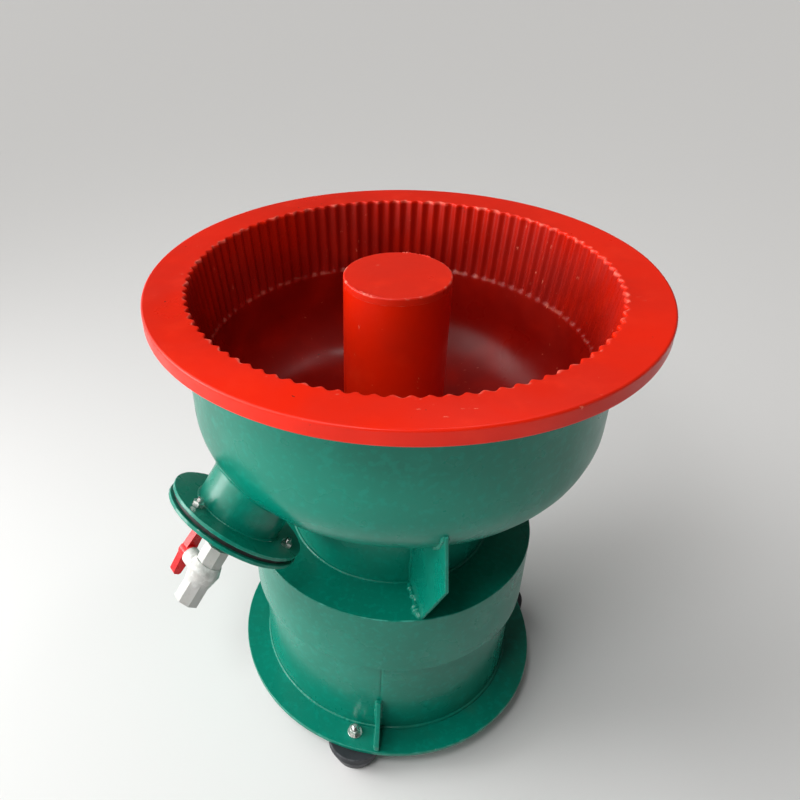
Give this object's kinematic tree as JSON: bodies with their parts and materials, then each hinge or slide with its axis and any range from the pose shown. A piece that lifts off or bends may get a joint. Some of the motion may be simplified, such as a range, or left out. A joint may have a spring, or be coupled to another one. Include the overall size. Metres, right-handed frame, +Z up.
{
  "type": "vibratory rock tumbler",
  "caption": "Round vibratory tumbler: polyurethane-lined bowl with a centre post, sprung on a drum base, with a vertical eccentric motor and a drain valve.",
  "frame": {"origin": "centre of the machine's axis at floor level, under the rubber feet", "axes": "+Z up along the machine's axis, -Y to the front of the base, +X to the right seen from the front"},
  "size_m": [0.76, 0.76, 0.845],
  "materials": {
    "painted_green": "gloss enamel with orange peel",
    "lining_red": "satin cast polyurethane",
    "cap_red": "satin cast polyurethane",
    "foot_rubber": "matt moulded rubber",
    "black_rubber": "matt",
    "zinc_steel": "bright zinc plate",
    "spring_steel": "satin black",
    "black_plastic": "fine texture",
    "white_plastic": "moulded, slightly glossy",
    "valve_inner": "smooth",
    "handle_red": "moulded, glossy",
    "motor_paint": "satin paint",
    "stator_windings": "varnished laminations and windings",
    "machined_steel": "ground",
    "core_steel": "laminated, turned",
    "cast_weight": "sand cast, painted grey"
  },
  "bodies": {
    "base": {"rubber_feet": "foot_rubber", "foot_studs": "zinc_steel", "foot_washers": "zinc_steel", "foot_nuts": "zinc_steel", "base_flange": "painted_green", "base_cylinder": "painted_green", "base_gussets": "painted_green", "spring_ring": "painted_green", "lower_spring_seats": "painted_green", "springs": "spring_steel", "cable_gland": "black_plastic", "gland_dome": "black_plastic", "gland_locknut": "black_plastic"},
    "bowl": {"motor_plate": "painted_green", "skirt": "painted_green", "neck_ring": "painted_green", "bowl_gussets": "painted_green", "bowl_shell": "painted_green", "rim_ring": "painted_green", "bowl_lining": "lining_red", "trough_lining": "lining_red", "floor_lining": "lining_red", "post_tube": "painted_green", "post_sleeve": "lining_red", "post_cap": "cap_red", "upper_spring_seats": "painted_green", "discharge_pipe": "painted_green", "port_flange": "painted_green", "port_gasket": "black_rubber", "blind_plate": "painted_green", "port_bolts": "zinc_steel", "port_nuts": "zinc_steel", "drain_plug": "lining_red", "valve_nipple": "painted_green", "valve_body": "white_plastic", "valve_seats": "valve_inner", "stem_seal": "black_rubber", "motor_housing": "motor_paint", "motor_flange": "motor_paint", "stator": "stator_windings", "upper_end_bell": "motor_paint", "lower_end_bell": "motor_paint", "upper_bearing": "machined_steel", "lower_bearing": "machined_steel", "motor_bolts": "zinc_steel", "motor_nuts": "zinc_steel", "terminal_box": "motor_paint", "terminal_lid": "motor_paint"},
    "rotor": {"motor_shaft": "machined_steel", "rotor_core": "core_steel", "upper_weight": "cast_weight", "upper_weight_screw": "zinc_steel"},
    "lead_weight": {"lower_weight": "cast_weight", "lower_weight_screw": "zinc_steel"},
    "valve_lever": {"valve_ball": "valve_inner", "valve_stem": "valve_inner", "valve_handle": "handle_red", "handle_screw": "zinc_steel"}
  },
  "joints": [
    {"name": "bowl_bounce", "type": "slide", "parent": "base", "child": "bowl", "axis": [0, 0, 1], "range_m": [-0.005, 0.005], "stiffness_N_per_m": 185000, "springref_m": 0.00716, "deforming": ["springs"]},
    {"name": "motor_spin", "type": "hinge", "parent": "bowl", "child": "rotor", "pos_m": [0, 0, 0.344], "axis": [0, 0, 1], "continuous": true},
    {"name": "lead_angle", "type": "hinge", "parent": "rotor", "child": "lead_weight", "pos_m": [0, 0, 0.188], "axis": [0, 0, 1], "range_deg": [0, 90]},
    {"name": "valve_turn", "type": "hinge", "parent": "bowl", "child": "valve_lever", "pos_m": [-0.28652, -0.24213, 0.43854], "axis": [-0.6455, 0.7638, 0], "range_deg": [0, 90]}
  ]
}
